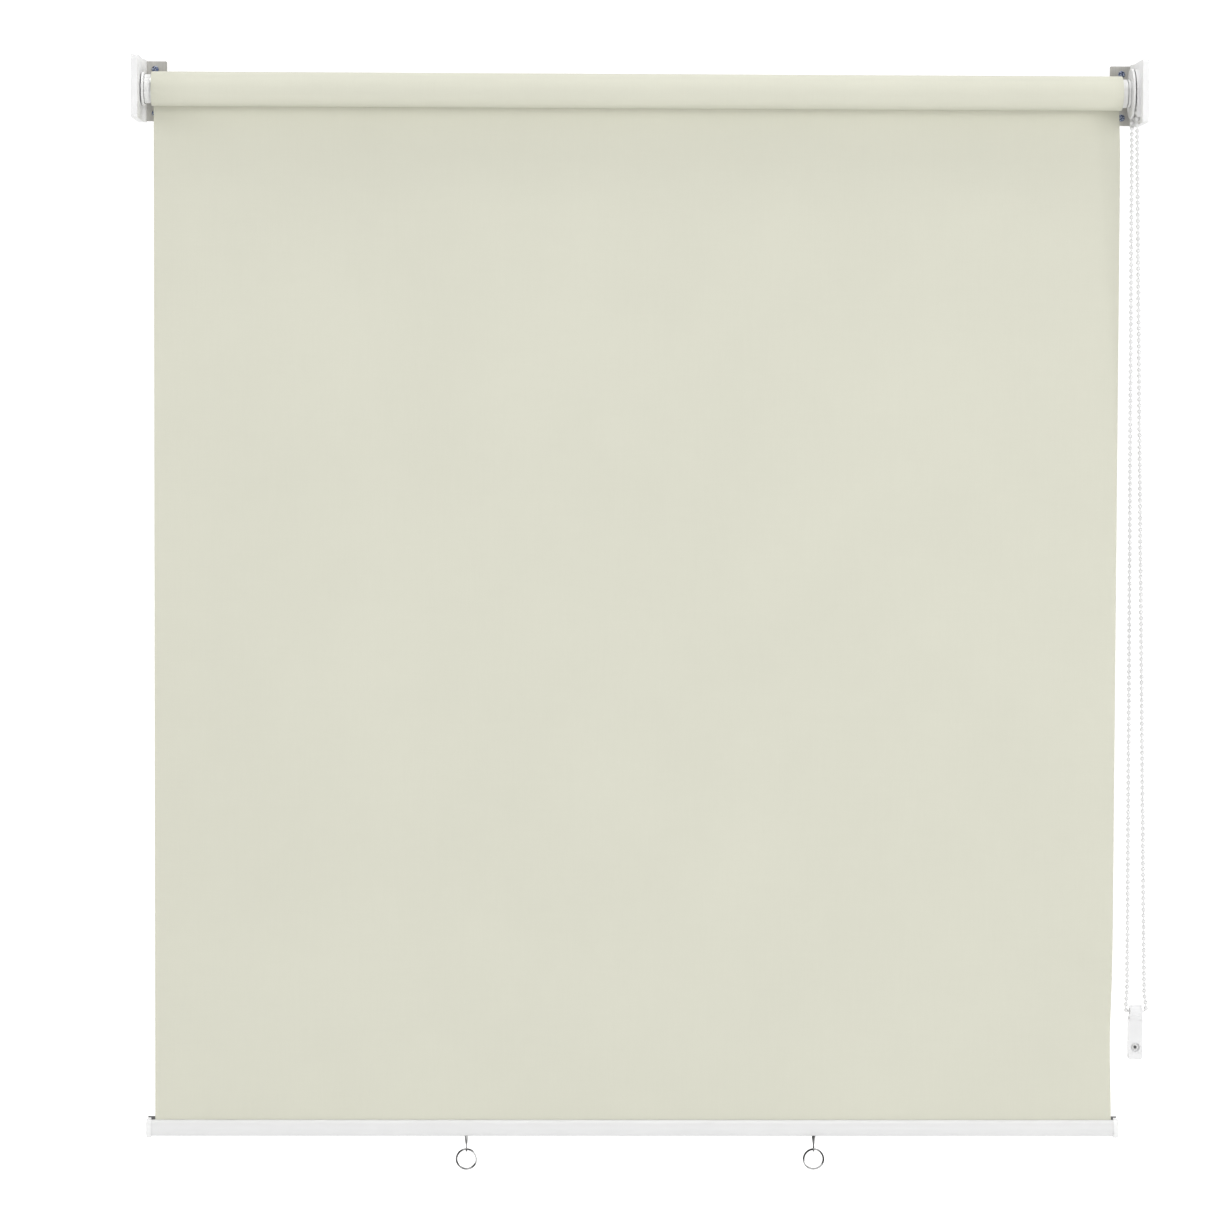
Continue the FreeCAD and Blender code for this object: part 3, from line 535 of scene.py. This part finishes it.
def wound_cloth():
    """The cloth left on the tube: one strip in a spiral, its cut edges a little out of line."""
    outer = SHEET_LOW.y - AXIS_Y - 0.1 * MM
    pitch = (outer - TAPE_R) / WRAPS
    steps, stations = 80, 12
    front, back = [], []
    for a in range(WRAPS * steps + 1):
        turn = 2 * math.pi * a / steps
        radius = outer - pitch * turn / (2 * math.pi)
        creep = 0.35 * MM * (noise.noise(Vector((turn * 0.45, 0.0, 4.2))))
        left = ROLL_LOW.x + creep
        right = ROLL_HIGH.x + creep + 0.2 * MM * noise.noise(Vector((turn * 0.8, 7.0, 0.0)))
        outside, inside = [], []
        for b in range(stations + 1):
            x = left + (right - left) * b / stations
            outside.append(around(radius, turn, x))
            inside.append(around(max(radius - pitch * 0.86, TAPE_R), turn, x))
        front.append(outside)
        back.append(inside)
    bm = bmesh.new()
    add_slab(bm, front, back)
    made = piece("cloth_roll", bm, "blind_cloth", "roller", 60.0)
    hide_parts("wound_fabric")


def cloth_lead():
    """The few millimetres where the sheet parts from the roll, thinning out as it lies down on it."""
    steps, stations = 14, 12
    reach = math.radians(38)
    inner = SHEET_LOW.y - AXIS_Y
    front, back = [], []
    for a in range(steps + 1):
        turn = reach * a / steps
        rise = inner * math.sin(turn)
        thick = CLOTH * (1 - a / steps) + 0.02 * MM
        bed = inner - 0.05 * MM * min(1.0, rise / (2 * MM))
        near, far = [], []
        for b in range(stations + 1):
            x = SHEET_LOW.x + (SHEET_HIGH.x - SHEET_LOW.x) * b / stations
            near.append(around(bed, turn, x))
            far.append(around(bed + thick, turn, x))
        front.append(near)
        back.append(far)
    bm = bmesh.new()
    add_slab(bm, front, back)
    return piece("cloth_lead", bm, "blind_cloth", "wall_mount", 60.0)


sheet = hanging_cloth()
wound_cloth()
lead = cloth_lead()

# --- chain wheel --------------------------------------------------------------------------------

WHEEL_X = 499.0 * MM
POCKETS = 18
WHEEL_R = BEAD_PITCH / (2 * math.sin(math.pi / POCKETS))
WHEEL_LEFT, WHEEL_RIGHT = 496.5 * MM, 501.1 * MM
RIM_R = 17.7 * MM
RIM_INNER_R = 14.72 * MM
POCKET_R = 2.42 * MM
GROOVE_R = 16.3 * MM       # floor of the groove that the cord runs in between the beads
GROOVE_HALF = 0.85 * MM    # half its width


def pocket_height(turn, x):
    """The radius of the pocketed rim at a place on it."""
    step = 2 * math.pi / POCKETS
    offset = (turn - math.pi / 2 + step / 2) % step - step / 2
    along, aside = WHEEL_R * offset, x - WHEEL_X
    height = GROOVE_R if abs(aside) < GROOVE_HALF else RIM_R
    reach = POCKET_R ** 2 - along ** 2 - aside ** 2
    if reach > 0:
        height = min(height, WHEEL_R - math.sqrt(reach))
    return height


def wheel_rim():
    """The ring of pockets that the beads sit in."""
    steps, across = POCKETS * 18, 22
    stations = [WHEEL_LEFT + (WHEEL_RIGHT - WHEEL_LEFT) * n / across for n in range(across + 1)]
    bm = bmesh.new()
    loops = []
    for a in range(steps):
        turn = 2 * math.pi * a / steps
        points = [around(RIM_INNER_R, turn, WHEEL_LEFT)]
        points += [around(pocket_height(turn, x), turn, x) for x in stations]
        points.append(around(RIM_INNER_R, turn, WHEEL_RIGHT))
        loops.append([bm.verts.new(point) for point in points])
    join_loops(bm, loops, True)
    return piece("wheel_pocket_rim", bm, "plug_plastic", "chain_wheel", 40.0)


wheel_rim()

# --- pin spring ---------------------------------------------------------------------------------


def pin_spring():
    """The compression spring behind the idle pin, eight turns wound at an even pitch from end to end."""
    low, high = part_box("idle_pin_spring")
    wire = 0.4 * MM
    radius = (high.z - low.z) / 2 - wire
    turns, steps = 8, 28
    line = []
    for n in range(turns * steps + 1):
        share = n / (turns * steps)
        turn = 2 * math.pi * n / steps
        line.append(around(radius, turn, low.x + wire + (high.x - low.x - 2 * wire) * share))
    bm = bmesh.new()
    add_sweep(bm, line, circle_section(wire, 10))
    made = piece("idle_pin_spring_coil", bm, "spring_steel", "roller", 60.0)
    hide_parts("idle_pin_spring")
    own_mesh(made)


pin_spring()

# --- pull rings ---------------------------------------------------------------------------------


def split_ring(side, crossing_deg):
    """A split ring: two flat turns of wire, with one place where it steps from one turn to the other."""
    low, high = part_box(side + "_pull_ring")
    centre = (low + high) / 2
    width = (high.y - low.y) / 2
    wire = 1.8 * MM
    radius = (high.x - low.x) / 2 - wire / 2
    free, step = 34, 26
    total = 720 - 2 * free
    line, sides = [], []
    steps = 168
    for n in range(steps + 1):
        turned = free + total * n / steps
        share = min(1.0, max(0.0, (turned - 360 + step) / (2 * step)))
        share = share * share * (3 - 2 * share)
        angle = math.radians(crossing_deg + turned)
        out = Vector((math.cos(angle), 0, math.sin(angle)))
        line.append(centre + out * radius + Y_AXIS * width * (share - 0.5))
        sides.append(out)
    a, b, cut = wire / 2, width / 2 - 0.02 * MM, 0.22 * MM
    section = [
        (a - cut, b), (a - cut * 0.3, b - cut * 0.3), (a, b - cut),
        (a, cut - b), (a - cut * 0.3, cut * 0.3 - b), (a - cut, -b),
        (cut - a, -b), (cut * 0.3 - a, cut * 0.3 - b), (-a, cut - b),
        (-a, b - cut), (cut * 0.3 - a, b - cut * 0.3), (cut - a, b),
    ]
    bm = bmesh.new()
    add_sweep(bm, line, section, sides)
    made = piece(side + "_split_ring", bm, "ring_chrome", side + "_pull_ring", 40.0)
    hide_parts(side + "_pull_ring")


for ring_side, crossing in (("left", 205), ("right", 55)):
    split_ring(ring_side, crossing)

# --- light and floor ----------------------------------------------------------------------------

FLOOR_Z = CAD_BOUNDS[0].z - 0.45


def add_floor():
    """A wide pale floor below the blind, brighter behind it, where it runs into the backdrop."""
    bm = bmesh.new()
    bmesh.ops.create_grid(bm, x_segments=1, y_segments=1, size=30.0)
    mesh = bpy.data.meshes.new("floor")
    bm.to_mesh(mesh)
    bm.free()
    floor = bpy.data.objects.new("floor", mesh)
    floor.location = (0, 0, FLOOR_Z)
    bpy.context.scene.collection.objects.link(floor)
    white = Finish("floor_white", 0.9, Specular_IOR_Level=0.1, Emission_Color=(1, 1, 1, 1))
    white.shader.inputs["Base Color"].default_value = (0.75, 0.75, 0.75, 1)
    depth = white.node("SeparateXYZ", {"Vector": white.place}).outputs["Y"]
    inputs = {"Value": depth, "From Min": 0.3, "From Max": 1.8, "To Min": 0.12, "To Max": 0.55}
    white.feed("Emission Strength", white.node("MapRange", inputs).outputs["Result"])
    mesh.materials.append(white.material)


def add_light(name, place, target, size, power):
    """A square soft light that faces a target."""
    data = bpy.data.lights.new(name, "AREA")
    data.shape = "SQUARE"
    data.size = size
    data.energy = power
    light = bpy.data.objects.new(name, data)
    light.location = place
    light.rotation_mode = "QUATERNION"
    light.rotation_quaternion = (Vector(target) - Vector(place)).to_track_quat("-Z", "Y")
    bpy.context.scene.collection.objects.link(light)


def add_world():
    """A white backdrop that gives more light than the dim side of the room in front of it."""
    world = bpy.data.worlds.new("studio")
    world.use_nodes = True
    nodes, links = world.node_tree.nodes, world.node_tree.links
    towards = nodes.new("ShaderNodeSeparateXYZ")
    links.new(nodes.new("ShaderNodeTexCoord").outputs["Generated"], towards.inputs["Vector"])
    glow = nodes.new("ShaderNodeMapRange")
    glow.interpolation_type = "SMOOTHSTEP"
    links.new(towards.outputs["Y"], glow.inputs["Value"])
    for socket, value in (("From Min", -0.35), ("From Max", 0.35), ("To Min", 0.45), ("To Max", 1.15)):
        glow.inputs[socket].default_value = value
    shown = nodes.new("ShaderNodeMath")
    shown.operation = "MAXIMUM"
    links.new(glow.outputs["Result"], shown.inputs[0])
    links.new(nodes.new("ShaderNodeLightPath").outputs["Is Camera Ray"], shown.inputs[1])
    nodes["Background"].inputs["Color"].default_value = (1, 1, 1, 1)
    links.new(shown.outputs[0], nodes["Background"].inputs["Strength"])
    bpy.context.scene.world = world


add_world()
add_floor()
add_light("key", (4.4, -6.4, 0.1), (0, 0, -0.5), 3.5, 245)
add_light("fill", (-6.2, -5.4, -0.2), (0, 0, -0.4), 6.0, 230)
add_light("overhead", (0.3, -0.8, 4.0), (0, 0, -0.5), 2.5, 88)

bpy.context.scene.view_settings.view_transform = "Standard"
